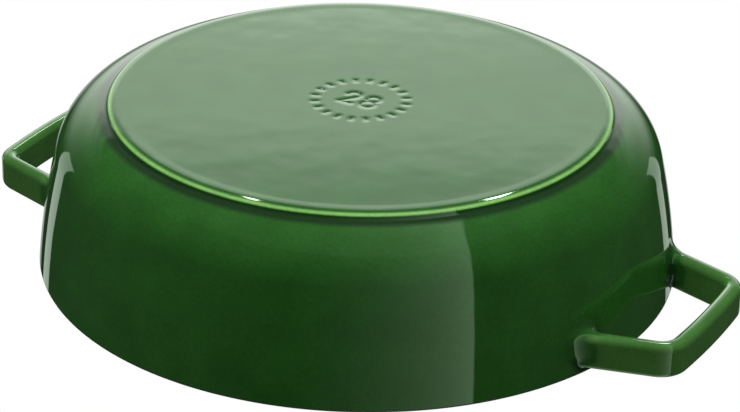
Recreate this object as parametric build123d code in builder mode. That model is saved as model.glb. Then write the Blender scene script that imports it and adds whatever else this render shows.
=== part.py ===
from build123d import *
from math import atan2, cos, degrees, hypot, radians, sin, sqrt
import os

# Enamelled cast iron braiser, without its lid.
# Frame: millimetres, +Z up out of the mouth, X through both handles,
# origin at the centre of the plane that the foot stands on.

# Driving dimensions of the pan
rim_diameter = 288.0
pan_height = 76.0
foot_inset = 32.0
belly_radius = 27.0
belly_setback = 2.8
wall_bow_radius = 325.0
foot_step = 2.1
foot_corner_radius = 1.5
foot_crease_radius = 0.5
foot_land_width = 2.6
foot_slope_width = 5.0
base_recess = 0.2
iron_wall = 3.2

# Enamel: one thickness everywhere, and how far the rim's band reaches down
coat = 0.4
rim_band = 1.1
rim_edge_radius = 1.0

# Driving dimensions of a handle, a flat band bent into a loop
handle_overhang = 32.8
handle_top_gap = 2.9
handle_band_height = 16.0
handle_band_top_thickness = 9.2
handle_band_low_thickness = 7.4
handle_tip_width = 73.4
handle_root_width = 103.0
handle_corner_radius = 14.0
handle_grip_bow = 1.7
handle_edge_radius = 3.2
handle_root_radius = 1.7
handle_root_depth = 9.0

# Size mark sunk into the glaze of the base: the plain number 28 in a ring of ticks
mark_depth = 0.25
mark_stroke = 1.6
digit_height = 13.0
digit_width = 7.4
digit_gap = 2.6
tick_ring_radius = 20.5
tick_length = 3.4
tick_width = 1.3
tick_count = 20
upper_ring_share = 0.48

# Turns in degrees
quarter_turn = 90.0
half_turn = 180.0
digit_bend = 225.0

# Hair of clearance between a handle's root and the wall it is blended into. The glaze
# clears the iron by twice as much, so that the castings' roots go right through it.
root_clearance = 0.01

# One overrun for all cuts
overrun = 10.0

# Derived sizes
rim_radius = rim_diameter / 2
foot_radius = rim_radius - foot_inset
wall_total = iron_wall + 2 * coat
belly_x = foot_radius - belly_setback
belly_z = foot_step + belly_radius
crease_height = belly_z - sqrt(belly_radius**2 - belly_setback**2)
coat_top = pan_height - rim_band
iron_top = pan_height - coat
handle_reach = rim_radius + handle_overhang
handle_top = pan_height - handle_top_gap
handle_low = handle_top - handle_band_height


def wall_centre():
    """Centre of the wall's long arc: it passes through the rim and is tangent to the belly arc."""
    reach = hypot(rim_radius - belly_x, pan_height - belly_z)
    inner = wall_bow_radius - belly_radius
    along = (inner**2 - wall_bow_radius**2 + reach**2) / (2 * reach)
    across = sqrt(inner**2 - along**2)
    turn = atan2(pan_height - belly_z, rim_radius - belly_x)
    x = belly_x + along * cos(turn) - across * sin(turn)
    z = belly_z + along * sin(turn) + across * cos(turn)
    return x, z


wall_x, wall_z = wall_centre()
tangent_turn = atan2(belly_z - wall_z, belly_x - wall_x)


def wall_radius_at(z, inset=0.0):
    """Radius of the wall's long arc at a height, moved into the wall by inset."""
    bow = wall_bow_radius - inset
    return wall_x + sqrt(bow**2 - (z - wall_z) ** 2)


def draw_wall(start_turn, inset, top):
    """Edges of the belly arc, from a given turn on, and of the wall arc, up to the height top."""
    belly = belly_radius - inset
    bow = wall_bow_radius - inset
    end_turn = atan2(top - wall_z, wall_radius_at(top, inset) - wall_x)
    CenterArc((belly_x, belly_z), belly, degrees(start_turn), degrees(tangent_turn - start_turn))
    CenterArc((wall_x, wall_z), bow, degrees(tangent_turn), degrees(end_turn - tangent_turn))


def crease_at(inset):
    """Where the foot's side meets the belly, on the surface moved in by inset."""
    side = foot_radius - inset
    return side, belly_z - sqrt((belly_radius - inset) ** 2 - (side - belly_x) ** 2)


def draw_outside(inset, top):
    """Closed half outline of the pan's outside, filled to the axis, moved in by inset."""
    side, crease = crease_at(inset)
    corner = foot_corner_radius - inset
    land_end = foot_radius - foot_corner_radius - foot_land_width
    recess_end = land_end - foot_slope_width
    recess = base_recess + inset
    Line((0, recess), (recess_end, recess))
    Line((recess_end, recess), (land_end, inset))
    Line((land_end, inset), (side - corner, inset))
    CenterArc((side - corner, inset + corner), corner, -quarter_turn, quarter_turn)
    Line((side, inset + corner), (side, crease))
    draw_wall(atan2(crease - belly_z, side - belly_x), inset, top)
    Line((wall_radius_at(top, inset), top), (0, top))
    Line((0, top), (0, recess))


def draw_inside(inset, top):
    """Closed half outline of the pan's hollow, filled to the axis, inset from the outside."""
    floor = belly_z - (belly_radius - inset)
    Line((0, floor), (belly_x, floor))
    draw_wall(-radians(quarter_turn), inset, top)
    Line((wall_radius_at(top, inset), top), (0, top))
    Line((0, top), (0, floor))


def round_crease(inset):
    """Round the crease between foot and belly in the current section."""
    fillet(vertices().sort_by_distance(crease_at(inset))[0], radius=foot_crease_radius + inset)


def round_rim(radius):
    """Round both corners of the rim in the current section."""
    fillet(vertices().group_by(Axis.Y)[-1], radius=radius)


def iron_section():
    """Half section of the pan's iron, with its foot and rim rounded."""
    with BuildSketch() as section:
        with BuildLine():
            draw_outside(coat, iron_top)
        make_face()
        round_crease(coat)
        with BuildLine():
            draw_inside(coat + iron_wall, iron_top)
        make_face(mode=Mode.SUBTRACT)
        round_rim(rim_edge_radius - coat)
    return section.sketch


def rim_section():
    """Half section of the enamel that hooks over the rim, down both sides of the iron."""
    with BuildSketch() as section:
        with BuildLine():
            draw_outside(0, pan_height)
        make_face()
        with BuildLine():
            draw_inside(wall_total, pan_height)
        make_face(mode=Mode.SUBTRACT)
        round_rim(rim_edge_radius)
        add(iron_section(), mode=Mode.SUBTRACT)
        Rectangle(rim_diameter, coat_top, align=(Align.CENTER, Align.MIN), mode=Mode.SUBTRACT)
    return section.sketch


def glaze_section():
    """Half section of the glaze outside the pan, from the recess round the foot and up the wall."""
    back = coat - 2 * root_clearance
    with BuildSketch() as section:
        with BuildLine():
            draw_outside(0, coat_top)
        make_face()
        round_crease(0)
        with BuildLine():
            draw_outside(back, coat_top)
        make_face(mode=Mode.SUBTRACT)
        round_crease(back)
    return section.sketch


def handle_plan(inset, height):
    """Filled plan of a handle at +X with rounded outer corners, moved in by inset."""
    tip_half = handle_tip_width / 2
    grip_end = handle_reach - handle_grip_bow
    root_half = handle_root_width / 2
    root = sqrt((rim_radius - handle_root_depth) ** 2 - root_half**2)
    with BuildSketch(Plane.XY.offset(height)) as plan:
        with BuildLine():
            ThreePointArc((grip_end, -tip_half), (handle_reach, 0), (grip_end, tip_half))
            Line((grip_end, tip_half), (root, root_half))
            Line((root, root_half), (root, -root_half))
            Line((root, -root_half), (grip_end, -tip_half))
        make_face()
        fillet(vertices().sort_by(Axis.X)[-2:], radius=handle_corner_radius)
        if inset:
            offset(amount=-inset, mode=Mode.REPLACE)
    return plan.sketch


def handle_draft():
    """Angle by which the band's inner face leans, so that the handle leaves its mould."""
    lean = handle_band_top_thickness - handle_band_low_thickness
    return degrees(atan2(lean, handle_band_height))


def wall_plug(inset):
    """Filled stretch of the pan behind the handles, for blending a handle into the wall."""
    low = handle_low - overrun
    high = pan_height + overrun
    middle = (low + high) / 2
    with BuildPart() as plug:
        with BuildSketch(Plane.XZ):
            with BuildLine():
                Line((0, low), (wall_radius_at(low, inset), low))
                ThreePointArc(
                    (wall_radius_at(low, inset), low),
                    (wall_radius_at(middle, inset), middle),
                    (wall_radius_at(high, inset), high),
                )
                Line((wall_radius_at(high, inset), high), (0, high))
                Line((0, high), (0, low))
            make_face()
        revolve(axis=Axis.Z)
    return plug.part


def handle_solid(inset):
    """One handle at +X with its root blended into the pan, all its faces moved in by inset."""
    height = handle_band_height - 2 * inset
    low = handle_low + inset
    plug = wall_plug(inset)
    with BuildPart() as handle:
        extrude(handle_plan(inset, low), amount=height)
        window = handle_plan(handle_band_low_thickness - inset, low)
        extrude(window, amount=height, taper=handle_draft(), mode=Mode.SUBTRACT)
        bands = handle.edges().group_by(Axis.Z)
        ends = (bands[0] + bands[-1]).filter_by(lambda edge: edge.center().X > rim_radius)
        fillet(ends, radius=handle_edge_radius - inset)
        add(plug)
        seams = handle.edges(Select.NEW)
        fillet(seams, radius=handle_root_radius + inset)
        add(wall_plug(inset - root_clearance), mode=Mode.SUBTRACT)
    return handle.part


def two_sketch():
    """The digit 2, centred, as a line of one stroke's width."""
    bowl = (digit_width - mark_stroke) / 2
    high = digit_height / 2 - mark_stroke / 2
    with BuildSketch() as digit:
        with BuildLine():
            bend = CenterArc((0, high - bowl), bowl, half_turn, -digit_bend)
            Line(bend @ 1, (-bowl, -high))
            Line((-bowl, -high), (bowl, -high))
        trace(line_width=mark_stroke)
    return digit.sketch


def eight_sketch():
    """The digit 8, centred, as two rings that share a stroke."""
    both = (digit_height + mark_stroke) / 2
    upper = both * upper_ring_share
    lower = both - upper
    with BuildSketch() as digit:
        with Locations((0, digit_height / 2 - upper)):
            Circle(upper)
            Circle(upper - mark_stroke, mode=Mode.SUBTRACT)
        with Locations((0, lower - digit_height / 2)):
            Circle(lower)
            Circle(lower - mark_stroke, mode=Mode.SUBTRACT)
    return digit.sketch


def mark_sketch(height):
    """The size mark, read from below with the handles left and right."""
    shift = (digit_width + digit_gap) / 2
    below = Plane(origin=(0, 0, height), x_dir=(-1, 0, 0), z_dir=(0, 0, -1))
    with BuildSketch(below) as mark:
        with Locations((-shift, 0)):
            add(two_sketch())
        with Locations((shift, 0)):
            add(eight_sketch())
        with PolarLocations(tick_ring_radius, tick_count):
            SlotOverall(tick_length, tick_width)
    return mark.sketch


handle_iron = handle_solid(coat)
handle_outside = handle_solid(0.0)

with BuildPart() as right_handle_casting:
    add(handle_iron)

with BuildPart() as left_handle_casting:
    add(handle_iron, rotation=(0, 0, half_turn))

with BuildPart() as right_handle_glaze:
    add(handle_outside)
    add(handle_iron, mode=Mode.SUBTRACT)

with BuildPart() as left_handle_glaze:
    add(right_handle_glaze.part, rotation=(0, 0, half_turn))

# The pan and its foot, poured as one with the handles
with BuildPart() as pan_casting:
    with BuildSketch(Plane.XZ):
        add(iron_section())
    revolve(axis=Axis.Z)

# Matte black enamel on the floor, up the inside of the wall and over the rim
with BuildPart() as interior_enamel:
    with BuildSketch(Plane.XZ):
        with BuildLine():
            draw_inside(coat + iron_wall, coat_top)
        make_face()
        with BuildLine():
            draw_inside(wall_total, coat_top)
        make_face(mode=Mode.SUBTRACT)
        add(rim_section())
    revolve(axis=Axis.Z)

# Green glaze on the outside of the wall, from the rim's band down to the foot
with BuildPart() as wall_glaze:
    with BuildSketch(Plane.XZ):
        add(glaze_section())
    revolve(axis=Axis.Z)
    split(bisect_by=Plane.XY.offset(crease_height), keep=Keep.TOP)
    add(left_handle_casting.part, mode=Mode.SUBTRACT)
    add(right_handle_casting.part, mode=Mode.SUBTRACT)

# Green glaze under the base, round the foot and in the recess, with the size mark
with BuildPart() as base_glaze:
    with BuildSketch(Plane.XZ):
        add(glaze_section())
    revolve(axis=Axis.Z)
    split(bisect_by=Plane.XY.offset(crease_height), keep=Keep.BOTTOM)
    extrude(mark_sketch(base_recess + mark_depth), amount=overrun, mode=Mode.SUBTRACT)

pieces = {
    "pan_casting": pan_casting,
    "left_handle_casting": left_handle_casting,
    "right_handle_casting": right_handle_casting,
    "interior_enamel": interior_enamel,
    "wall_glaze": wall_glaze,
    "base_glaze": base_glaze,
    "left_handle_glaze": left_handle_glaze,
    "right_handle_glaze": right_handle_glaze,
}

os.makedirs("parts", exist_ok=True)
for label, piece in pieces.items():
    piece.part.label = label
    export_step(piece.part, f"parts/{label}.step")
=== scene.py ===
from math import asin, atan2, cos, hypot, pi, sin, sqrt

import bmesh
import bpy
import numpy as np
from bpy.props import FloatProperty, FloatVectorProperty, IntProperty, PointerProperty
from mathutils import Matrix, Vector


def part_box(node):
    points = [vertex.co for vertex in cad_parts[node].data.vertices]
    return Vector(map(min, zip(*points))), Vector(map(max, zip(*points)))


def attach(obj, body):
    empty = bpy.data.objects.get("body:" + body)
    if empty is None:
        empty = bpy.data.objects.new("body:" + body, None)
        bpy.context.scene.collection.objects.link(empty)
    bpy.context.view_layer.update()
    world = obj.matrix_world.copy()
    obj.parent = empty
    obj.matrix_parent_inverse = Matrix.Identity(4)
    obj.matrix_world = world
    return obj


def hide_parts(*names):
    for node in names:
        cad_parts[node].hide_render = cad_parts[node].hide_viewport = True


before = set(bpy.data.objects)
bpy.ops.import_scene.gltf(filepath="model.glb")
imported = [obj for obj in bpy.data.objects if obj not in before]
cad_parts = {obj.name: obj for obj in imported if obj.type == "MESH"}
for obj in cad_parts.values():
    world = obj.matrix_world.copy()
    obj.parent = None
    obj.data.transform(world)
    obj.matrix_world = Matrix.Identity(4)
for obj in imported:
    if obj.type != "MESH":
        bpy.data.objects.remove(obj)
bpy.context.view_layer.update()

bl_info = {
    "name": "Enamelled braiser",
    "version": (1, 0, 0),
    "blender": (4, 5, 0),
    "location": "3D View > Sidebar > Braiser",
    "description": "Dresses the cast iron braiser: green glaze, black enamel, and a plain studio",
    "category": "Object",
}

BODY = "root"
MM = 0.001
WELD = 0.002 * MM
SLIVER = 0.0005 * MM

# The outer skin from which the green pieces are cut, and its regions
SKIN = "outer_skin"
BASE, WALL, HANDLE = 1, 2, 3

# Columns of faces round the pan, and the part of them that opens for a handle
COLUMNS = 320
PITCH = 2 * pi / COLUMNS
ROWS, SPAN, FIRST_COLUMN = 20, 12, 10

# Rings of a handle: how far those of its root stand out of the arm, and the number of the others
ROOT_RINGS = (1.0, 0.84, 0.68, 0.53, 0.39, 0.26, 0.13, 0.0)
ARM_RINGS, CORNER_RINGS, GRIP_RINGS = 18, 16, 18
# Heights between which the wall opens for a handle's root
OPENING = (48.5 * MM, 74.6 * MM)
# Where, under the handle's top, the root's blend starts to shrink, and over which height
FILLET_FADE, FADE_LENGTH = 8 * MM, 6.5 * MM
# How far the first ring lies outside the blend, and inside it at the top
ROOT_SPARE, TOP_SPARE = 0.6 * MM, 0.1 * MM
# Reach from the axis within which the root's mesh is evened
LOOSE = 158 * MM

# Slope of the black enamel's hidden side at the rim
UNDER_LIP = 0.4 * MM
# Share of the crease that belongs to the base
CREASE_SHARE = 0.6
# How far outside the crease's centre the glaze pools, and how wide on each side
POOL_SHIFT, POOL_WIDTH = 1.6 * MM, 3.6 * MM

# Bend per millimetre that ends the scale, and those where glaze is deep, even up to, and thin
HOLLOW, DEEP, EVEN, THIN = -0.14, -0.10, 0.055, 0.21
# Bend that pooled glaze and that of the handles look like, and share of its bend the mark shows
POOL_BEND, HANDLE_BEND, MARK_SHARE = 0.09, 0.078, 0.6


# Settings of the add-on


def length(name, description, default):
    """A length, its default given in millimetres."""
    return FloatProperty(
        name=name, description=description, default=default * MM, unit="LENGTH", subtype="DISTANCE"
    )


def number(name, description, default):
    """A plain number."""
    return FloatProperty(name=name, description=description, default=default)


def tint(name, description, default):
    """A linear colour."""
    return FloatVectorProperty(
        name=name, description=description, default=default, subtype="COLOR", min=0, max=1
    )


class PanSizes(bpy.types.PropertyGroup):
    """Section of the pan, the same as in the frame, with a softer foot."""

    rim: length("Rim radius", "Outside of the rim", 144)
    height: length("Height", "From the foot to the rim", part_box("interior_enamel")[1].z / MM)
    belly: length("Belly radius", "Curve between foot and wall", 27)
    belly_place: length("Belly centre", "Radius of the centre of its curve", 109.2)
    belly_lift: length("Belly lift", "Height of the belly's lowest point", 2.1)
    bow: length("Wall bow", "Radius of the wall's long curve", 325)
    field: length("Mark field", "Radius of the fine mesh round the mark", 24)
    ring_start: length("Ring start", "Radius where the base falls to the foot", 103.2)
    ring_end: length("Ring end", "Radius where that fall ends", 107.6)
    foot: length("Foot flat", "Radius where the foot starts to round", 108.07)
    shoulder: length("Foot shoulder", "Gentle start of the foot's rounding", 13)
    shoulder_turn: FloatProperty(
        name="Shoulder turn", description="How far the gentle rounding goes", default=0.21,
        unit="ROTATION", subtype="ANGLE",
    )
    corner: length("Foot corner", "Rounding of the foot", 2.3)
    crease: length("Crease", "Hollow between foot and belly", 2.2)
    recess: length("Recess", "How far the base is sunk", 0.05)
    wall: length("Wall", "Thickness of iron with both coats", 4)
    coat: length("Coat", "Thickness of the enamel as drawn", 0.34)
    band: length("Rim band", "Height of the black band at the rim", 1.1)
    lip: length("Lip", "Rounding of the rim", 1)


class HandleSizes(bpy.types.PropertyGroup):
    """A handle is a flat band bent into a loop, the same as in the frame."""

    reach: length("Reach", "From the axis to the grip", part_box("right_handle_glaze")[1].x / MM)
    top: length("Top", "Height of the band's upper side", 73.1)
    low: length("Low", "Height of the band's lower side", 57.1)
    top_thickness: length("Upper thickness", "Band at its upper side", 9.2)
    low_thickness: length("Lower thickness", "Band at its lower side", 7.4)
    tip: length("Tip width", "Between the corners of the grip", 73.4)
    root: length("Root width", "Between the arms at the wall", 103)
    depth: length("Root depth", "How far inside the rim the arms are aimed", 9)
    corner: length("Corner", "Outer rounding of the loop", 14)
    bow: length("Bow", "How far the grip bows out", 1.7)
    edge: length("Edge", "Rounding of the band's edges", 3.2)
    root_fillet: length("Root fillet", "Soft blend of the arms into the wall", 6.5)
    top_fillet: length("Upper fillet", "Blend beside the rim", 1.4)


class MarkSizes(bpy.types.PropertyGroup):
    """The sunk size mark in the base: the plain number 28 in a ring of ticks."""

    depth: length("Depth", "How far the mark is sunk", 0.07)
    soft: length("Soft edge", "Width of the mark's soft edge", 1.3)
    sag: length("Sag", "How far the glaze around it sinks", 0.17)
    spread: length("Sag width", "Width over which it sinks", 5.2)
    stroke: length("Stroke", "Width of a stroke", 1.9)
    height: length("Digit height", "Height of the digits", 13)
    width: length("Digit width", "Width of a digit", 7.4)
    gap: length("Digit gap", "Between the two digits", 2.6)
    ring: length("Tick ring", "Radius of the ticks' middles", 20.5)
    tick: length("Tick length", "Length of a tick", 3.4)
    ticks: IntProperty(name="Ticks", description="Number of ticks", default=20, min=3)


class FinishColours(bpy.types.PropertyGroup):
    """Colours of the enamels, the iron and the floor."""

    deep: tint("Deep glaze", "Green where the glaze is thick", (0.0045, 0.022, 0.0045))
    body: tint("Glaze", "Green of even surfaces", (0.0135, 0.070, 0.0095))
    thin: tint("Thin glaze", "Green where the glaze is thin", (0.165, 0.36, 0.095))
    black: tint("Black enamel", "Matte enamel inside the pan", (0.012, 0.012, 0.013))
    iron: tint("Iron", "Bare iron under the enamel", (0.09, 0.09, 0.095))
    floor: tint("Floor", "Pale floor", (0.86, 0.86, 0.86))


class StageSettings(bpy.types.PropertyGroup):
    """Camera as fitted to the photograph, and the lamp over the pan."""

    camera: FloatVectorProperty(
        name="Camera", description="Camera's place", default=(-0.5775, -1.0340, -0.5457),
        subtype="XYZ", unit="LENGTH",
    )
    sight: FloatVectorProperty(
        name="Sight", description="Direction in which the camera looks",
        default=(0.434151, 0.777208, 0.455477), subtype="DIRECTION",
    )
    up: FloatVectorProperty(
        name="Picture's up", description="The pan is shown upside down",
        default=(0.243142, 0.385750, -0.889988), subtype="DIRECTION",
    )
    sensor: number("Sensor", "Width of the sensor in millimetres", 36.0)
    lens: number("Lens", "Focal length in millimetres", 142.715)
    shift_x: number("Shift across", "Share of the picture's width", 0.016723)
    shift_y: number("Shift up", "Share of the picture's width", 0.019329)
    floor: length("Floor", "Radius of the floor", 6000)
    lamp: FloatVectorProperty(
        name="Lamp", description="Place of the lamp overhead", default=(0.0, -0.1, 1.7),
        subtype="XYZ", unit="LENGTH",
    )
    lamp_width: length("Lamp width", "Diameter of the lamp overhead", 1300)
    lamp_power: number("Lamp power", "In watts", 26.0)


# Section of the pan


def ease(part):
    """Smooth step of a share between 0 and 1."""
    return part * part * (3 - 2 * part)


def meeting_point(first, first_reach, second, second_reach, side):
    """Point at given distances from two others, left (1) or right (-1) of the way between them."""
    turn = turn_to(first, second)
    span = hypot(second[0] - first[0], second[1] - first[1])
    along = (first_reach**2 - second_reach**2 + span**2) / (2 * span)
    across = side * sqrt(first_reach**2 - along**2)
    x = first[0] + along * cos(turn) - across * sin(turn)
    return x, first[1] + along * sin(turn) + across * cos(turn)


def turn_to(centre, point):
    """Direction from a centre to a point in the section."""
    return atan2(point[1] - centre[1], point[0] - centre[0])


def belly_centre(pan):
    """Centre of the belly's arc."""
    return pan.belly_place, pan.belly_lift + pan.belly


def wall_arc(pan):
    """Centre of the wall's long arc, and the turn at which it goes over into the belly's."""
    belly = belly_centre(pan)
    centre = meeting_point(belly, pan.bow - pan.belly, (pan.rim, pan.height), pan.bow, 1)
    return *centre, turn_to(centre, belly)


def corner_arc(pan):
    """Centre of the foot's corner, which goes on from its gentle shoulder."""
    spare = pan.shoulder - pan.corner
    return pan.foot + spare * sin(pan.shoulder_turn), pan.shoulder - spare * cos(pan.shoulder_turn)


def crease_arc(pan):
    """Centre of the hollow that joins the foot's corner to the belly."""
    corner_reach, belly_reach = pan.corner + pan.crease, pan.belly + pan.crease
    return meeting_point(corner_arc(pan), corner_reach, belly_centre(pan), belly_reach, -1)


def opening_turns(pan):
    """Turns, on the wall's arc, between which the wall opens for the handles' roots."""
    _, wz, _ = wall_arc(pan)
    return [asin((z - wz) / pan.bow) for z in OPENING]


def radius_at(pan, z, inset=0.0):
    """Radius of the wall's arc at a height, moved in by inset."""
    wx, wz, _ = wall_arc(pan)
    return wx + sqrt((pan.bow - inset) ** 2 - (z - wz) ** 2)


class Pen:
    """Draws a section in the XZ plane."""

    def __init__(self, bm, x, z):
        self.bm = bm
        self.end = bmesh.ops.create_vert(bm, co=(x, 0, z))["vert"][0]

    def line(self, x, z, steps=1):
        """Extrudes the section's end in a straight line."""
        step = (Vector((x, 0, z)) - self.end.co) / steps
        for _ in range(steps):
            self.end = bmesh.ops.extrude_vert_indiv(self.bm, verts=[self.end])["verts"][0]
            bmesh.ops.translate(self.bm, verts=[self.end], vec=step)

    def arc(self, centre, turn, steps=1):
        """Spins the section's end about a centre."""
        made = bmesh.ops.spin(
            self.bm, geom=[self.end], cent=(centre[0], 0, centre[1]), axis=(0, -1, 0), angle=turn,
            steps=steps,
        )
        self.end = next(g for g in made["geom_last"] if isinstance(g, bmesh.types.BMVert))


def spin_round(bm, turn, steps):
    """Spins everything about the pan's axis, and closes the poles and the seam."""
    bmesh.ops.spin(
        bm, geom=bm.verts[:] + bm.edges[:], cent=(0, 0, 0), axis=(0, 0, 1), angle=turn,
        steps=steps, use_merge=turn > pi,
    )
    bmesh.ops.remove_doubles(bm, verts=bm.verts[:], dist=WELD)
    bmesh.ops.dissolve_degenerate(bm, edges=bm.edges[:], dist=SLIVER)


def draw_outside(bm, pan):
    """Outer half section, from the middle of the base to where the glaze stops."""
    belly, corner, crease = belly_centre(pan), corner_arc(pan), crease_arc(pan)
    *wall, joint = wall_arc(pan)
    low, high = opening_turns(pan)
    pen = Pen(bm, 0, pan.recess)
    pen.line(pan.field, pan.recess, steps=80)
    pen.line(pan.ring_start, pan.recess, steps=18)
    ring_steps = 8
    for step in range(ring_steps):
        part = (step + 1) / ring_steps
        x = pan.ring_start + (pan.ring_end - pan.ring_start) * part
        pen.line(x, pan.recess * (1 - ease(part)))
    pen.line(pan.foot, 0, steps=2)
    pen.arc((pan.foot, pan.shoulder), pan.shoulder_turn, steps=6)
    pen.arc(corner, turn_to(corner, crease) + pi / 2 - pan.shoulder_turn, steps=8)
    pen.arc(crease, turn_to(crease, belly) - turn_to(crease, corner), steps=8)
    pen.arc(belly, joint - turn_to(belly, crease), steps=28)
    pen.arc(wall, low - joint, steps=14)
    pen.arc(wall, high - low, steps=ROWS)
    pen.arc(wall, asin((pan.height - pan.band - wall[1]) / pan.bow) - high)


def draw_inside(bm, pan):
    """Closed half section of the black enamel: floor, wall, rim, and back along its hidden side."""
    belly = belly_centre(pan)
    *wall, joint = wall_arc(pan)
    top, lip, band, under = pan.height, pan.lip, pan.height - pan.band, pan.wall - pan.coat
    pen = Pen(bm, 0, pan.belly_lift + pan.wall)
    pen.line(belly[0], pen.end.co.z, steps=40)
    pen.arc(belly, joint + pi / 2, steps=24)
    pen.arc(wall, asin((top - lip - wall[1]) / (pan.bow - pan.wall)) - joint, steps=30)
    pen.arc((pen.end.co.x + lip, pen.end.co.z), -pi / 2, steps=8)
    outer_lip = radius_at(pan, top - lip) - lip
    pen.line(outer_lip, top, steps=4)
    pen.arc((outer_lip, top - lip), -pi / 2, steps=8)
    pen.line(radius_at(pan, band), band)
    back, inner = radius_at(pan, band, pan.coat), radius_at(pan, top - lip, under)
    pen.line(back, band)
    pen.line(back - UNDER_LIP, top - pan.coat, steps=2)
    pen.line(inner + UNDER_LIP, top - pan.coat, steps=2)
    pen.line(inner, top - lip)
    pen.arc(wall, joint - asin((top - lip - wall[1]) / (pan.bow - under)), steps=12)
    pen.arc(belly, -joint - pi / 2, steps=10)
    pen.line(0, pan.belly_lift + under, steps=3)


# Distance to the pan and its handles, on which the outer skin is laid

# Share of the band's height by which its taper goes on above and below it
TAPER_PAST = 0.2
# Step of the slope, and rounds and least slope of the search for the surface
SLOPE_STEP = 0.004 * MM
SETTLE_ROUNDS, LEAST_SLOPE = 12, 0.05


def handle_plan(handle):
    """Corner centre, grip centre and turns of the loop's outer line, in plan, for y above 0."""
    tip = handle.tip / 2
    end = handle.reach - handle.bow
    half = handle.root / 2
    rim = bpy.context.scene.braiser_pan.rim
    root = sqrt((rim - handle.depth) ** 2 - half**2)
    normal = Vector((half - tip, end - root)).normalized()
    grip_radius = (tip**2 + handle.bow**2) / (2 * handle.bow)
    grip = handle.reach - grip_radius
    away = normal.x * end + normal.y * tip - handle.corner
    ring = grip_radius - handle.corner
    offset = away - normal.x * grip
    across = sqrt(ring**2 - offset**2)
    x = grip + offset * normal.x + across * normal.y
    corner = Vector((x, offset * normal.y - across * normal.x))
    return normal, corner, grip, grip_radius, atan2(corner.y, corner.x - grip)


def loop_distance(handle, points):
    """How far points lie outside the loop's outer line, in plan."""
    normal, corner, grip, grip_radius, joint = handle_plan(handle)
    x, y = points[:, 0], np.abs(points[:, 1])
    side = (x - corner.x) * normal.x + (y - corner.y) * normal.y - handle.corner
    bend = np.hypot(x - corner.x, y - corner.y) - handle.corner
    front = np.hypot(x - grip, y) - grip_radius
    turn = np.arctan2(y - corner.y, x - corner.x)
    zones = (turn > atan2(normal.y, normal.x), turn > joint, np.arctan2(y, x - grip) > joint)
    return np.select(zones, (side, bend, side), front)


def band_distance(handle, points):
    """How far points lie outside the handle's band, its edges rounded."""
    z = points[:, 2]
    height = handle.top - handle.low
    part = np.clip((z - handle.low) / height, -TAPER_PAST, 1 + TAPER_PAST)
    thick = handle.low_thickness + (handle.top_thickness - handle.low_thickness) * part
    plan = np.abs(loop_distance(handle, points) + thick / 2) - thick / 2 + handle.edge
    rise = np.abs(z - (handle.top + handle.low) / 2) - height / 2 + handle.edge
    outer = np.hypot(np.maximum(plan, 0), np.maximum(rise, 0))
    return outer + np.minimum(np.maximum(plan, rise), 0) - handle.edge


def pan_distance(pan, points):
    """How far points lie outside the pan's belly and wall."""
    wx, wz, joint = wall_arc(pan)
    bx, bz = belly_centre(pan)
    r, z = np.hypot(points[:, 0], points[:, 1]), points[:, 2]
    wall = np.hypot(r - wx, z - wz) - pan.bow
    belly = np.hypot(r - bx, z - bz) - pan.belly
    return np.where(np.arctan2(z - wz, r - wx) > joint, wall, belly)


def skin_distance(points):
    """Distance outside pan and handle together, with a soft blend where they meet."""
    pan, handle = bpy.context.scene.braiser_pan, bpy.context.scene.braiser_handle
    wall, band = pan_distance(pan, points), band_distance(handle, points)
    above = points[:, 2] - (handle.top - FILLET_FADE)
    narrow = ease(np.clip(above / FADE_LENGTH, 0, 1))
    width = handle.root_fillet + (handle.top_fillet - handle.root_fillet) * narrow
    near = np.maximum(width - np.abs(wall - band), 0) / width
    return np.minimum(wall, band) - near**2 * width / 4


def skin_slope(points):
    """Gradient of the distance, by small steps."""
    slope = np.empty_like(points)
    for axis, move in enumerate(np.eye(3) * SLOPE_STEP):
        rise = skin_distance(points + move) - skin_distance(points - move)
        slope[:, axis] = rise / (2 * SLOPE_STEP)
    return slope


def settle(verts):
    """Moves vertices onto the blended surface."""
    points = np.array([v.co for v in verts], float)
    for _ in range(SETTLE_ROUNDS):
        slope = skin_slope(points)
        steep = np.maximum((slope**2).sum(1), LEAST_SLOPE)
        points = points - (skin_distance(points) / steep)[:, None] * slope
    for vert, point in zip(verts, points):
        vert.co = point


# The handles, grown out of the wall

# How the low, outer, high and inner side turn their own directions into across and up
SIDE_TURNS = ((1, 0, 0, -1), (0, 1, 1, 0), (-1, 0, 0, 1), (0, -1, -1, 0))
# How far a vertex may lie beside its column and its row, and still be part of the opening's edge
COLUMN_PLAY, ROW_PLAY = 0.05, 0.02 * MM


def outline_point(handle, side, part):
    """A point on one side of the band's section, across and up, and the direction it faces."""
    half_z = (handle.top - handle.low) / 2
    half_b = (handle.top_thickness + handle.low_thickness) / 4
    half, out = ((half_b, half_z), (half_z, half_b))[side % 2]
    edge = handle.edge
    arc = edge * pi / 4
    flat = 2 * (half - edge)
    run = part * (flat + 2 * arc)
    if run < arc:
        turn, along = (run / arc - 1) * pi / 4, edge - half
    elif run > arc + flat:
        turn, along = (run - arc - flat) / arc * pi / 4, half - edge
    else:
        turn, along = 0.0, edge - half + run - arc
    faces = (sin(turn), cos(turn))
    place = (along + edge * faces[0], out - edge + edge * faces[1])
    a, b, c, d = SIDE_TURNS[side]
    return [value for u, v in (place, faces) for value in (a * u + b * v, c * u + d * v)]


def ring_outline(handle):
    """Points of the band's section, one for each vertex of the wall's opening, in its order."""
    points = []
    for side, count in enumerate((SPAN, ROWS, SPAN, ROWS)):
        points += [outline_point(handle, side, step / count) for step in range(count)]
    return points


def ring_edges(bm, ring):
    """Edges of a closed ring of vertices."""
    return [bm.edges.get((ring[i - 1], ring[i])) for i in range(len(ring))]


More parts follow.
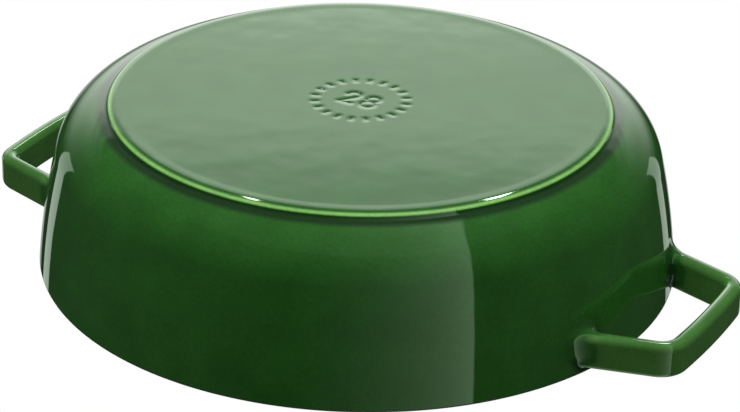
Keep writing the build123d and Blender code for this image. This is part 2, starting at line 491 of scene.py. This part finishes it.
def extrude_ring(bm, ring, places):
    """Extrudes a closed ring of vertices and moves the new ring to its places."""
    made = bmesh.ops.extrude_edge_only(bm, edges=ring_edges(bm, ring))["geom"]
    new = {g for g in made if isinstance(g, bmesh.types.BMVert)}
    ring = [next(e.other_vert(v) for e in v.link_edges if e.other_vert(v) in new) for v in ring]
    for vert, place in zip(ring, places):
        vert.co = place
    return ring


def wall_hit(pan, point, direction):
    """Distance along a direction in plan from a point to the wall at the point's height."""
    radius = radius_at(pan, point.z)
    along = point.x * direction.x + point.y * direction.y
    return -along + sqrt(along**2 - point.x**2 - point.y**2 + radius**2)


def grow_arm(bm, ring, pan, handle):
    """Draws the opening's edge out of the wall: soft root, arm, corner and half the grip."""
    normal, corner, grip, _, joint = handle_plan(handle)
    side = Vector((normal.x, normal.y, 0))
    ahead = Vector((normal.y, -normal.x, 0))
    half_band = (handle.top_thickness + handle.low_thickness) / 4
    middle = Vector((corner.x, corner.y, (handle.top + handle.low) / 2))
    middle += side * (handle.corner - half_band)
    outline = ring_outline(handle)
    reach, top_reach = handle.root_fillet + ROOT_SPARE, handle.top_fillet - TOP_SPARE
    for share in ROOT_RINGS:
        places = []
        for b, z, facing_b, facing_z in outline:
            lift = max(facing_z, 0.0)
            out = (reach * (1 - lift) + top_reach * lift) * share
            point = middle + side * (b + facing_b * out) + Vector((0, 0, z + facing_z * out))
            places.append(point + ahead * wall_hit(pan, point, ahead))
        ring = extrude_ring(bm, ring, places)
    starts = [vert.co.copy() for vert in ring]
    ends = [middle + side * b + Vector((0, 0, z)) for b, z, _, _ in outline]
    for step in range(1, ARM_RINGS + 1):
        part = step / ARM_RINGS
        ring = extrude_ring(bm, ring, [a.lerp(b, part) for a, b in zip(starts, ends)])
    edges = ring_edges(bm, ring)
    corner_bend = ((corner.x, corner.y, 0), atan2(normal.y, normal.x) - joint, CORNER_RINGS)
    grip_bend = ((grip, 0, 0), joint, GRIP_RINGS)
    for centre, turn, steps in (corner_bend, grip_bend):
        made = bmesh.ops.spin(
            bm, geom=ring + edges, cent=centre, axis=(0, 0, -1), angle=turn, steps=steps
        )["geom_last"]
        ring = [g for g in made if isinstance(g, bmesh.types.BMVert)]
        edges = [g for g in made if isinstance(g, bmesh.types.BMEdge)]


def column_of(place):
    """Column in which a place round the pan lies, counted from the opening's first."""
    return atan2(place.y, place.x) / PITCH - FIRST_COLUMN


def open_wall(bm, rows):
    """Takes out the faces of the quarter wall where a handle grows, between two heights."""
    doomed = []
    for face in bm.faces:
        middle = face.calc_center_median()
        if 0 < column_of(middle) < SPAN and rows[0] < middle.z < rows[-1]:
            doomed.append(face)
    bmesh.ops.delete(bm, geom=doomed, context="FACES")


def opening_edge(bm, rows):
    """Vertices round the opening, from its low inner corner round by the low side."""
    found = {}
    for vert in bm.verts:
        column = column_of(vert.co)
        nearest = round(column)
        if abs(column - nearest) < COLUMN_PLAY and 0 <= nearest <= SPAN:
            row = min(range(ROWS + 1), key=lambda r: abs(rows[r] - vert.co.z))
            if abs(rows[row] - vert.co.z) < ROW_PLAY:
                found[nearest, row] = vert
    keys = [(column, 0) for column in range(SPAN)]
    keys += [(SPAN, row) for row in range(ROWS)]
    keys += [(SPAN - column, ROWS) for column in range(SPAN)]
    keys += [(0, ROWS - row) for row in range(ROWS)]
    return [found[key] for key in keys]


# The outer skin

RELAX_ROUNDS, RELAX_SHARE = 3, 0.4
# Height above which normals follow the blended distance, and below which the glaze pools
FOOT_ZONE = 8 * MM
# Greatest bend per millimetre that counts, rounds that even it out, and shortest edge's square
MOST_BEND, EVENING_ROUNDS, LEAST_RUN = 0.6, 5, 1e-12
# Radii between which the glaze goes over into that of the handles
HANDLE_START, HANDLE_FULL = 145 * MM, 151 * MM


def quarter_skin(bm, pan, handle):
    """A quarter of the outside: base, foot, belly, wall, and the half handle grown out of it."""
    draw_outside(bm, pan)
    spin_round(bm, pi / 2, COLUMNS // 4)
    _, wz, _ = wall_arc(pan)
    low, high = opening_turns(pan)
    rows = [wz + pan.bow * sin(low + (high - low) * row / ROWS) for row in range(ROWS + 1)]
    open_wall(bm, rows)
    region = bm.faces.layers.int.new("region")
    base_edge = crease_arc(pan)[0] - pan.crease * CREASE_SHARE
    for face in bm.faces:
        inside = face.calc_center_median().xy.length < base_edge
        face[region] = BASE if inside else WALL
    wall_faces, fixed = set(bm.faces), set(bm.verts)
    grow_arm(bm, opening_edge(bm, rows), pan, handle)
    for face in bm.faces:
        if face not in wall_faces:
            face[region] = HANDLE
    moving = [v for v in bm.verts if v not in fixed]
    for _ in range(RELAX_ROUNDS):
        settle(moving)
        bmesh.ops.smooth_vert(
            bm, verts=[v for v in moving if v.co.x < LOOSE], factor=RELAX_SHARE,
            use_axis_x=True, use_axis_y=True, use_axis_z=True,
        )
    settle(moving)


def mirror_skin(bm):
    """Makes the whole outside of its quarter, its faces pointing out."""
    for axis in ("Y", "X"):
        bmesh.ops.mirror(
            bm, geom=bm.verts[:] + bm.edges[:] + bm.faces[:], matrix=Matrix.Identity(4),
            merge_dist=2 * WELD, axis=axis,
        )
    bmesh.ops.remove_doubles(bm, verts=bm.verts[:], dist=WELD)
    bmesh.ops.recalc_face_normals(bm, faces=bm.faces[:])
    lowest = min(bm.faces, key=lambda f: f.calc_center_median().z)
    if lowest.normal.z > 0:
        bmesh.ops.reverse_faces(bm, faces=bm.faces[:])


def skin_normals(bm, points):
    """Normals of the skin: from the blended distance above the foot, the mesh's own below."""
    normals = np.array([v.normal for v in bm.verts], float)
    above = points[:, 2] > FOOT_ZONE
    side = np.ones_like(points[above])
    side[points[above, 0] < 0, 0] = -1
    slope = skin_slope(points[above] * side) * side
    normals[above] = slope / np.linalg.norm(slope, axis=1)[:, None]
    return normals


def skin_bend(bm, points, normals):
    """Bend at each vertex, per millimetre: how fast normals part along its edges, evened."""
    ends = np.array([[v.index for v in e.verts] for e in bm.edges])
    links = np.bincount(ends.ravel(), minlength=len(points))
    run = points[ends[:, 1]] - points[ends[:, 0]]
    parting = ((normals[ends[:, 1]] - normals[ends[:, 0]]) * run).sum(1)
    total = np.zeros(len(points))
    for end in (0, 1):
        np.add.at(total, ends[:, end], parting / np.maximum((run**2).sum(1), LEAST_RUN))
    bend = np.clip(total / np.maximum(links, 1) * MM, -MOST_BEND, MOST_BEND)
    for _ in range(EVENING_ROUNDS):
        spread = bend.copy()
        for a, b in ((0, 1), (1, 0)):
            np.add.at(spread, ends[:, a], bend[ends[:, b]])
        bend = spread / (1 + links)
    return bend


def glaze_bend(pan, points, bend):
    """Bend as the glaze shows it: pooled by the foot, even on handles, faint in the mark."""
    radius = np.hypot(points[:, 0], points[:, 1])
    beside = np.abs(radius - crease_arc(pan)[0] - POOL_SHIFT) / POOL_WIDTH
    bend = bend - POOL_BEND * ease(np.clip(1 - beside, 0, 1)) * (points[:, 2] < FOOT_ZONE)
    handle = np.clip((radius - HANDLE_START) / (HANDLE_FULL - HANDLE_START), 0, 1)
    bend += (HANDLE_BEND - bend) * handle
    return bend * np.where(radius < pan.field, MARK_SHARE, 1)


def build_skin(scene):
    """The whole outside of the pan as one surface, with its regions, normals and convexity."""
    pan = scene.braiser_pan
    bm = bmesh.new()
    quarter_skin(bm, pan, scene.braiser_handle)
    mirror_skin(bm)
    sink_mark(bm, pan, scene.braiser_mark)
    bm.normal_update()
    bm.verts.ensure_lookup_table()
    points = np.array([v.co for v in bm.verts], float)
    normals = skin_normals(bm, points)
    bend = glaze_bend(pan, points, skin_bend(bm, points, normals))
    mesh = mesh_of(bm, SKIN)
    convexity = mesh.attributes.new("convexity", "FLOAT", "POINT")
    convexity.data.foreach_set("value", bend.astype(np.float32))
    stored = mesh.attributes.new("skin_normal", "FLOAT_VECTOR", "POINT")
    stored.data.foreach_set("vector", normals.astype(np.float32).ravel())
    mesh.use_fake_user = True


def place_key(point):
    """A place rounded to a ten-thousandth of a millimetre."""
    return tuple(round(value / (0.0001 * MM)) for value in point)


def piece_of_skin(context, name, region, sign=0):
    """A closed enamel coat made of one region of the outer skin, on one side if sign is given."""
    mesh = bpy.data.meshes[SKIN].copy()
    mesh.name = name
    bm = bmesh.new()
    bm.from_mesh(mesh)
    layer = bm.faces.layers.int["region"]
    others = [
        f for f in bm.faces
        if f[layer] != region or (sign and f.calc_center_median().x * sign < 0)
    ]
    bmesh.ops.delete(bm, geom=others, context="FACES")
    outside = {place_key(v.co) for v in bm.verts}
    bmesh.ops.solidify(bm, geom=bm.faces[:], thickness=context.scene.braiser_pan.coat)
    bm.to_mesh(mesh)
    bm.free()
    normals = np.empty(len(mesh.vertices) * 3, np.float32)
    mesh.attributes["skin_normal"].data.foreach_get("vector", normals)
    normals = normals.reshape(-1, 3)
    for vert in mesh.vertices:
        if place_key(vert.co) not in outside:
            normals[vert.index] *= -1
    smooth_faces(mesh)
    mesh.normals_split_custom_set_from_vertices(normals.tolist())
    mesh.attributes.remove(mesh.attributes["skin_normal"])
    mesh.attributes.remove(mesh.attributes["region"])
    return place_piece(context, mesh)


def smooth_faces(mesh):
    """Smooth shading on every face."""
    mesh.polygons.foreach_set("use_smooth", [True] * len(mesh.polygons))
    mesh.update()


def mesh_of(bm, name):
    """New mesh made of a finished bmesh."""
    mesh = bpy.data.meshes.new(name)
    bm.to_mesh(mesh)
    bm.free()
    return mesh


def wear(piece, material):
    """Gives a piece its only material."""
    piece.data.materials.clear()
    piece.data.materials.append(bpy.data.materials[material])


def new_object(scene, name, data):
    """An object made of some data, in the scene."""
    made = bpy.data.objects.new(name, data)
    scene.collection.objects.link(made)
    return made


def place_piece(context, mesh):
    """Object of a finished mesh, riding on the frame's one body."""
    piece = new_object(context.scene, mesh.name, mesh)
    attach(piece, BODY)
    return piece


# The size mark in the base

# Greatest distance from the base's level at which a vertex still belongs to it
LEVEL_PLAY = 0.1 * MM
# Share of the 8 that its upper ring takes, and width of a tick as a share of a stroke's
UPPER_RING, TICK_WIDTH = 0.48, 0.8


def to_segment(x, y, a, b):
    """Distance of points from a straight stroke's line."""
    dx, dy = b[0] - a[0], b[1] - a[1]
    part = np.clip(((x - a[0]) * dx + (y - a[1]) * dy) / (dx * dx + dy * dy), 0, 1)
    return np.hypot(x - a[0] - part * dx, y - a[1] - part * dy)


def digit_two(mark, x, y):
    """Distance from the middle line of a 2: its bowl, its slanting stroke and its foot."""
    high = (mark.height - mark.stroke) / 2
    bowl = (mark.width - mark.stroke) / 2
    v = y - (high - bowl)
    round_part = np.abs(np.hypot(x, v) - bowl)
    arc = np.where(np.arctan2(v, x) > -pi / 4, round_part, np.hypot(x + bowl, v))
    knee = (bowl * cos(pi / 4), high - bowl - bowl * sin(pi / 4))
    heel, toe = (-bowl, -high), (bowl, -high)
    return np.minimum(arc, np.minimum(to_segment(x, y, knee, heel), to_segment(x, y, heel, toe)))


def digit_eight(mark, x, y):
    """Distance from the middle line of an 8: two rings that share a stroke."""
    both = (mark.height + mark.stroke) / 2
    upper, lower = both * UPPER_RING, both * (1 - UPPER_RING)
    half = mark.stroke / 2
    high = np.abs(np.hypot(x, y - (mark.height / 2 - upper)) - (upper - half))
    low = np.abs(np.hypot(x, y - (lower - mark.height / 2)) - (lower - half))
    return np.minimum(high, low)


def tick_ring(mark, x, y):
    """How far points lie outside the nearest tick of the ring."""
    pitch = 2 * pi / mark.ticks
    turn = np.arctan2(y, x)
    turn = turn - np.round(turn / pitch) * pitch
    radius = np.hypot(x, y)
    along = np.abs(radius * np.cos(turn) - mark.ring) - (mark.tick - mark.stroke) / 2
    return np.hypot(np.maximum(along, 0), radius * np.sin(turn)) - mark.stroke / 2 * TICK_WIDTH


def mark_distance(mark, x, y):
    """How far points lie outside the strokes of the digits and the ticks."""
    shift = (mark.width + mark.gap) / 2
    digits = np.minimum(digit_two(mark, x + shift, y), digit_eight(mark, x - shift, y))
    return np.minimum(digits - mark.stroke / 2, tick_ring(mark, x, y))


def sink_mark(bm, pan, mark):
    """Sinks the number and the ticks softly into the base, to be read from below."""
    verts = [
        v for v in bm.verts
        if v.co.xy.length < pan.field and abs(v.co.z - pan.recess) < LEVEL_PLAY
    ]
    x = np.array([-v.co.x for v in verts])
    y = np.array([v.co.y for v in verts])
    away = mark_distance(mark, x, y)
    sunk = ease(np.clip(0.5 - away / mark.soft, 0, 1)) * mark.depth
    sunk += ease(np.clip(0.5 - away / mark.spread, 0, 1)) * mark.sag
    for vert, depth in zip(verts, sunk):
        vert.co.z += depth


# Materials


def fill(tree, socket, value):
    """Links a socket to another one, or gives it a plain value."""
    value = getattr(value, "socket", value)
    if isinstance(value, bpy.types.NodeSocket):
        tree.links.new(value, socket)
    else:
        socket.default_value = value


def node(tree, kind, *values, **settings):
    """A shader node. Settings name attributes or else sockets; values fill sockets in order."""
    made = tree.nodes.new("ShaderNode" + kind)
    for key, value in settings.items():
        if hasattr(made, key):
            setattr(made, key, value)
        else:
            fill(tree, made.inputs[key.replace("_", " ")], value)
    for socket, value in zip(made.inputs, values):
        fill(tree, socket, value)
    return made


def new_tree(name):
    """The empty node tree of a new material."""
    material = bpy.data.materials.new(name)
    material.use_nodes = True
    material.node_tree.nodes.clear()
    return material.node_tree


def end_tree(tree, **settings):
    """Ends a material's tree in a Principled shader with these settings."""
    shader = node(tree, "BsdfPrincipled", **settings)
    node(tree, "OutputMaterial", shader.outputs["BSDF"])


def fired_group():
    """Shared by all finishes: long soft waves and a fine orange peel, as a height and two masks."""
    group = bpy.data.node_groups.new("fired_surface", "ShaderNodeTree")
    for name in ("Wave Scale", "Peel Scale", "Peel Share"):
        group.interface.new_socket(name, in_out="INPUT", socket_type="NodeSocketFloat")
    for name in ("Height", "Blotch", "Grain"):
        group.interface.new_socket(name, in_out="OUTPUT", socket_type="NodeSocketFloat")
    given, sink = group.nodes.new("NodeGroupInput").outputs, group.nodes.new("NodeGroupOutput")
    place = node(group, "TexCoord").outputs["Object"]
    waves, peel = (
        node(group, "TexNoise", Vector=place, Scale=given[scale], Detail=detail, Roughness=rough)
        for scale, detail, rough in (("Wave Scale", 1, 0.4), ("Peel Scale", 2, 0.5))
    )
    waves, peel = waves.outputs["Fac"], peel.outputs["Fac"]
    height = node(group, "Math", peel, given["Peel Share"], waves, operation="MULTIPLY_ADD")
    for socket, value in zip(sink.inputs, (height.outputs["Value"], waves, peel)):
        fill(group, socket, value)


def fired_surface(tree, scales, strength, distance):
    """Places the shared group; gives its two colour masks, and its height as a normal."""
    group = node(tree, "Group", *scales, node_tree=bpy.data.node_groups["fired_surface"])
    height = group.outputs["Height"]
    bump = node(tree, "Bump", Strength=strength, Distance=distance, Height=height)
    return group.outputs["Blotch"], group.outputs["Grain"], bump.outputs["Normal"]


def stretch(tree, mask, low, high, least, most):
    """A mask's range from low to high, stretched to the one from least to most."""
    return node(tree, "MapRange", mask, low, high, least, most).outputs["Result"]


def green_material(finish):
    """Clear green glaze over dark iron: lighter where it runs thin, deep where it pools."""
    tree = new_tree("fired_green")
    blotch, grain, normal = fired_surface(
        tree, scales=(55.0, 700.0, 0.02), strength=1.0, distance=0.06 * MM
    )
    convex = node(tree, "Attribute", attribute_name="convexity").outputs["Fac"]
    ramp = node(tree, "ValToRGB", stretch(tree, convex, HOLLOW, THIN, 0, 1))
    stops = ramp.color_ramp.elements
    stops[0].position, stops[0].color = (DEEP - HOLLOW) / (THIN - HOLLOW), (*finish.deep, 1)
    stops[1].position, stops[1].color = 1.0, (*finish.thin, 1)
    for bend in (0.0, EVEN):
        stops.new((bend - HOLLOW) / (THIN - HOLLOW)).color = (*finish.body, 1)
    blotch = stretch(tree, blotch, 0.25, 0.75, 0.88, 1.12)
    grain = stretch(tree, grain, 0.3, 0.7, 0.9, 1.1)
    drift = node(tree, "Math", blotch, grain, operation="MULTIPLY").outputs["Value"]
    shade = node(tree, "VectorMath", ramp.outputs["Color"], operation="SCALE", Scale=drift)
    end_tree(
        tree, Base_Color=shade.outputs["Vector"], Roughness=0.03, IOR=1.68,
        Specular_Tint=(0.7, 1.0, 0.68, 1), Normal=normal,
    )


def matte_material(name, colour, shades, roughness, scales, strength, distance):
    """A matte finish whose colour drifts between two shades of its own."""
    tree = new_tree(name)
    blotch, _, normal = fired_surface(tree, scales, strength, distance)
    ramp = node(tree, "ValToRGB", blotch)
    for stop, shade in zip(ramp.color_ramp.elements, shades):
        stop.color = (*[part * shade for part in colour], 1)
    end_tree(tree, Base_Color=ramp.outputs["Color"], Roughness=roughness, Normal=normal)


def black_material(finish):
    """Matte black enamel with the fine grain of a sanded glaze."""
    matte_material(
        "fired_black", finish.black, shades=(0.7, 1.8), roughness=0.42,
        scales=(120.0, 1500.0, 0.5), strength=0.5, distance=0.12 * MM,
    )


def iron_material(finish):
    """Bare cast iron under the coats."""
    matte_material(
        "raw_iron", finish.iron, shades=(0.8, 1.2), roughness=0.7,
        scales=(200.0, 2500.0, 0.8), strength=0.8, distance=0.2 * MM,
    )


# The studio

# Panels that the glaze mirrors, in degrees: left, right, lean, low, high, two softnesses, strength
PANELS = (
    (-51.3, -42.3, -0.57, -30, 0.5, 0.8, 1.5, 0.95),
    (38.0, 46.0, 0.47, -30, 1.5, 0.8, 1.5, 0.85),
    (-19, 15, 0.0, -30, -9, 6, 8, 0.55),
    (-15.0, -13.1, 0.6, 34.5, 41.3, 0.5, 0.8, 30.0),
    (9.65, 10.65, -0.43, 35.5, 42.6, 0.4, 0.8, 24.0),
)
# Strength of the bright wall behind the pan by height in degrees, and its spread to the sides
BACK_WALL = (
    (-9, 0.0), (-3, 0.7), (2, 1.9), (8, 2.5), (20, 2.4), (22.7, 2.15), (23.5, 1.62), (24.5, 1.48),
    (25.1, 1.56), (25.7, 1.33), (26.4, 0.92), (28.6, 0.85), (29.6, 0.22), (45, 0.12), (58, 0.1),
    (90, 0.08),
)
WALL_SPREAD = 19.0
# Heights between which the wall's spread goes over into an even light
WALL_OPENS = (28, 60)
# Strength of the soft light by height in degrees
SOFT_LIGHT = ((-90, 0.01), (0, 0.02), (35, 0.05), (60, 3.0), (90, 5.4))
# Change of a panel's colour in the glaze
PANEL_TINT = (-0.14, 0.0, -0.13)
# Wide panel beside the camera, in parts of a direction
SIDE_PANEL = {
    "slant": 0.38, "lean": 0.08, "edge": 0.377, "soft_edge": (0.37, 0.384), "reach": (0.2, -0.216),
    "cut": 0.07, "strength": 1.2, "end": (0.4, 0.65),
}
# Faint light from the room, the card overhead, and light from both sides
ROOM_HEIGHTS, ROOM_RISE, ROOM_LEAST = (-12, 40), 0.015, 0.008
CARD_HEIGHTS, CARD_STRENGTH = (-78, -52), 0.4
SIDES_MIRRORED, SIDES_SOFT = 0.045, 0.9
WHITE = (1, 1, 1, 1)


class Value:
    """A socket of the world's tree that is reckoned with like a number, by maths nodes."""

    def __init__(self, tree, socket):
        self.tree, self.socket = tree, socket

    def do(self, kind, *others):
        """One maths node on this value and others, which can be plain numbers."""
        made = node(self.tree, "Math", self, *others, operation=kind)
        return Value(self.tree, made.outputs["Value"])

    def __add__(self, other):
        return self.do("ADD", other)

    __radd__ = __add__

    def __sub__(self, other):
        return self.do("SUBTRACT", other)

    def __mul__(self, other):
        return self.do("MULTIPLY", other)

    def __truediv__(self, other):
        return self.do("DIVIDE", other)

    def rise(self, low, high):
        """Smooth step from 0 to 1."""
        made = node(self.tree, "MapRange", self, low, high, interpolation_type="SMOOTHSTEP")
        return Value(self.tree, made.outputs["Result"])

    def fall(self, low, high):
        """Smooth step from 1 to 0."""
        return self.rise(low, high) * -1 + 1

    def band(self, low, high, soft):
        """1 between low and high, 0 outside, with soft edges."""
        half = soft / 2
        return self.rise(low - half, low + half) - self.rise(high - half, high + half)

    def profile(self, stops):
        """A curve through stops, each a place and a strength."""
        low, high = stops[0][0], stops[-1][0]
        top = max(strength for _, strength in stops)
        ramp = node(self.tree, "ValToRGB", (self - low) / (high - low))
        points = ramp.color_ramp.elements
        for place, strength in stops:
            if place in (low, high):
                point = points[0 if place == low else -1]
            else:
                point = points.new((place - low) / (high - low))
            point.color = (strength / top, strength / top, strength / top, 1)
        return Value(self.tree, ramp.outputs["Color"]) * top


def wall_light(azimuth, height):
    """Bright wall behind the pan, fading to both sides."""
    spread = azimuth / WALL_SPREAD
    wide = (spread * spread * -0.5 * height.fall(*WALL_OPENS)).do("EXPONENT")
    return wide * height.profile(BACK_WALL)


def panel_light(azimuth, height):
    """All panels with straight edges together."""
    lights = []
    for left, right, lean, low, high, soft_side, soft_end, strength in PANELS:
        sides = (azimuth - height * lean).band(left, right, soft_side)
        lights.append(sides * height.band(low, high, soft_end) * strength)
    return sum(lights)


def side_light(across, away, down):
    """Wide panel beside the camera: a straight edge on the right, fading to the left."""
    panel = SIDE_PANEL
    side = across + away * panel["slant"] + down.do("MAXIMUM", 0) * panel["lean"]
    gap = (side * -1 + panel["edge"]).do("MAXIMUM", 0)
    fade = (gap / away.do("MULTIPLY_ADD", *panel["reach"])).do("EXPONENT")
    fade = (fade - panel["cut"]).do("MAXIMUM", 0) * panel["strength"]
    return side.fall(*panel["soft_edge"]) * away.fall(*panel["end"]) * fade


def add_world(scene, stage):
    """White for the camera, panels for the glaze to mirror, and soft light from both ends."""
    scene.world = bpy.data.worlds.new("studio")
    scene.world.use_nodes = True
    tree = scene.world.node_tree
    tree.nodes.clear()
    place = node(tree, "TexCoord").outputs["Generated"]
    bearing = atan2(stage.sight[0], stage.sight[1])
    facing = node(tree, "VectorRotate", rotation_type="Z_AXIS", Vector=place, Angle=bearing)
    parts = node(tree, "SeparateXYZ", facing.outputs["Vector"]).outputs
    across, away, down = (Value(tree, parts[axis]) for axis in "XYZ")
    across = across * -1
    azimuth = across.do("ARCTAN2", away) * (180 / pi)
    height = down.do("ARCSINE") * (-180 / pi)

    panels, sides = panel_light(azimuth, height), across * across
    mirrored = wall_light(azimuth, height) + panels + side_light(across, away, down)
    mirrored += height.rise(*ROOM_HEIGHTS) * ROOM_RISE + ROOM_LEAST
    mirrored += height.fall(*CARD_HEIGHTS) * CARD_STRENGTH + sides * SIDES_MIRRORED
    soft = height.profile(SOFT_LIGHT) + sides * sides * SIDES_SOFT
    lit = panels.do("MINIMUM", 1)
    tinted = node(tree, "VectorMath", lit, PANEL_TINT, WHITE[:3], operation="MULTIPLY_ADD")

    rays = node(tree, "LightPath").outputs
    glossy = node(tree, "Background", tinted.outputs["Vector"], mirrored)
    camera = node(tree, "Background", WHITE)
    result = node(tree, "Background", WHITE, soft)
    for ray, light in (("Is Glossy Ray", glossy), ("Is Camera Ray", camera)):
        result = node(tree, "MixShader", rays[ray], result.outputs[0], light.outputs[0])
    node(tree, "OutputWorld", result.outputs[0])


def add_camera(scene, stage):
    """The photograph's camera, which sees the pan upside down."""
    data = bpy.data.cameras.new("camera")
    camera = scene.camera = new_object(scene, "camera", data)
    back = -Vector(stage.sight).normalized()
    across = Vector(stage.up).cross(back).normalized()
    turn = Matrix((across, back.cross(across), back)).transposed()
    camera.matrix_world = Matrix.Translation(stage.camera) @ turn.to_4x4()
    data.sensor_width = stage.sensor
    data.lens = stage.lens
    data.shift_x, data.shift_y = stage.shift_x, stage.shift_y
    data.clip_start, data.clip_end = 0.01, 50.0


def floor_material(finish):
    """Pale floor, clear from below."""
    tree = new_tree("pale_floor")
    colour = (*finish.floor, 1)
    shader = node(tree, "BsdfPrincipled", Base_Color=colour, Roughness=0.9, Specular_IOR_Level=0.1)
    back, clear = node(tree, "NewGeometry").outputs["Backfacing"], node(tree, "BsdfTransparent")
    mix = node(tree, "MixShader", back, shader.outputs["BSDF"], clear.outputs["BSDF"])
    node(tree, "OutputMaterial", mix.outputs["Shader"])


def add_floor(scene, stage):
    """A round floor that shows the pan's shadow from above and does not light the glaze."""
    bm = bmesh.new()
    bmesh.ops.create_circle(bm, cap_ends=True, segments=96, radius=stage.floor)
    floor = new_object(scene, "floor", mesh_of(bm, "floor"))
    floor.visible_glossy = False
    floor.visible_diffuse = False
    floor.visible_transmission = False
    floor.visible_shadow = False
    floor_material(scene.braiser_finish)
    wear(floor, "pale_floor")


def add_lamp(scene, stage):
    """Broad soft lamp overhead, which the glaze does not mirror."""
    data = bpy.data.lights.new("overhead_lamp", "AREA")
    data.shape = "DISK"
    data.size = stage.lamp_width
    data.energy = stage.lamp_power
    lamp = new_object(scene, "overhead_lamp", data)
    lamp.location = stage.lamp
    lamp.rotation_euler = Vector(stage.lamp).to_track_quat("Z", "Y").to_euler()
    lamp.visible_camera = False
    lamp.visible_glossy = False


# Operators


class BRAISER_OT_materials(bpy.types.Operator):
    """Builds the shared node group and the three finishes"""

    bl_idname = "braiser.materials"
    bl_label = "Materials"

    def execute(self, context):
        finish = context.scene.braiser_finish
        fired_group()
        green_material(finish)
        black_material(finish)
        iron_material(finish)
        return {"FINISHED"}


class BRAISER_OT_skin(bpy.types.Operator):
    """Models the whole outside as one surface, from which the green pieces are cut"""

    bl_idname = "braiser.skin"
    bl_label = "Outer skin"

    def execute(self, context):
        build_skin(context.scene)
        return {"FINISHED"}


class BRAISER_OT_wall_glaze(bpy.types.Operator):
    """Green glaze on the wall, with soft openings where the handles grow out of it"""

    bl_idname = "braiser.wall_glaze"
    bl_label = "Wall glaze"

    def execute(self, context):
        piece = piece_of_skin(context, "wall_glaze_coat", WALL)
        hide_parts("wall_glaze")
        wear(piece, "fired_green")
        return {"FINISHED"}


class BRAISER_OT_base_glaze(bpy.types.Operator):
    """Green glaze under the base, with the foot's ring and the sunk size mark"""

    bl_idname = "braiser.base_glaze"
    bl_label = "Base glaze"

    def execute(self, context):
        piece = piece_of_skin(context, "base_glaze_coat", BASE)
        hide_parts("base_glaze")
        wear(piece, "fired_green")
        return {"FINISHED"}


class BRAISER_OT_handles(bpy.types.Operator):
    """Green glaze of both loop handles, with their soft roots"""

    bl_idname = "braiser.handles"
    bl_label = "Handles"

    def execute(self, context):
        for side, sign in (("right", 1), ("left", -1)):
            piece = piece_of_skin(context, f"{side}_handle_glaze_coat", HANDLE, sign)
            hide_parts(f"{side}_handle_glaze")
            wear(piece, "fired_green")
        return {"FINISHED"}


class BRAISER_OT_interior(bpy.types.Operator):
    """Black enamel on the floor, the inside of the wall and over the rim"""

    bl_idname = "braiser.interior"
    bl_label = "Interior enamel"

    def execute(self, context):
        bm = bmesh.new()
        draw_inside(bm, context.scene.braiser_pan)
        spin_round(bm, 2 * pi, COLUMNS)
        bmesh.ops.recalc_face_normals(bm, faces=bm.faces[:])
        mesh = mesh_of(bm, "interior_enamel_coat")
        smooth_faces(mesh)
        piece = place_piece(context, mesh)
        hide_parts("interior_enamel")
        wear(piece, "fired_black")
        return {"FINISHED"}


class BRAISER_OT_castings(bpy.types.Operator):
    """Gives the iron under the enamel its material; its shape is the frame's own"""

    bl_idname = "braiser.castings"
    bl_label = "Castings"

    def execute(self, context):
        for name in ("pan_casting", "left_handle_casting", "right_handle_casting"):
            wear(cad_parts[name], "raw_iron")
        return {"FINISHED"}


class BRAISER_OT_stage(bpy.types.Operator):
    """Camera at the photograph's viewing angle, pale floor and soft studio light"""

    bl_idname = "braiser.stage"
    bl_label = "Stage"

    def execute(self, context):
        scene, stage = context.scene, context.scene.braiser_stage
        add_camera(scene, stage)
        add_floor(scene, stage)
        add_world(scene, stage)
        add_lamp(scene, stage)
        scene.view_settings.view_transform = "Standard"
        return {"FINISHED"}


class BRAISER_PT_panel(bpy.types.Panel):
    """Lists the braiser's pieces and its stage"""

    bl_idname = "BRAISER_PT_panel"
    bl_label = "Braiser"
    bl_space_type = "VIEW_3D"
    bl_region_type = "UI"
    bl_category = "Braiser"

    def draw(self, context):
        for operator in OPERATORS:
            self.layout.operator(operator.bl_idname)
        for name in GROUPS:
            group = getattr(context.scene, name)
            box = self.layout.box()
            for key in group.__annotations__:
                box.prop(group, key)


OPERATORS = (
    BRAISER_OT_materials,
    BRAISER_OT_skin,
    BRAISER_OT_wall_glaze,
    BRAISER_OT_base_glaze,
    BRAISER_OT_handles,
    BRAISER_OT_interior,
    BRAISER_OT_castings,
    BRAISER_OT_stage,
)
GROUPS = {
    "braiser_pan": PanSizes,
    "braiser_handle": HandleSizes,
    "braiser_mark": MarkSizes,
    "braiser_finish": FinishColours,
    "braiser_stage": StageSettings,
}


def register():
    """Registers the settings, the operators and the panel."""
    for kind in (*GROUPS.values(), *OPERATORS, BRAISER_PT_panel):
        bpy.utils.register_class(kind)
    for name, kind in GROUPS.items():
        setattr(bpy.types.Scene, name, PointerProperty(type=kind))


def unregister():
    """Takes back what register did."""
    for name in GROUPS:
        delattr(bpy.types.Scene, name)
    for kind in reversed((*GROUPS.values(), *OPERATORS, BRAISER_PT_panel)):
        bpy.utils.unregister_class(kind)


def main():
    """Registers the add-on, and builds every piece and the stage."""
    register()
    for operator in OPERATORS:
        family, call = operator.bl_idname.split(".")
        getattr(getattr(bpy.ops, family), call)()
    bpy.data.meshes.remove(bpy.data.meshes[SKIN])


if __name__ == "__main__":
    main()
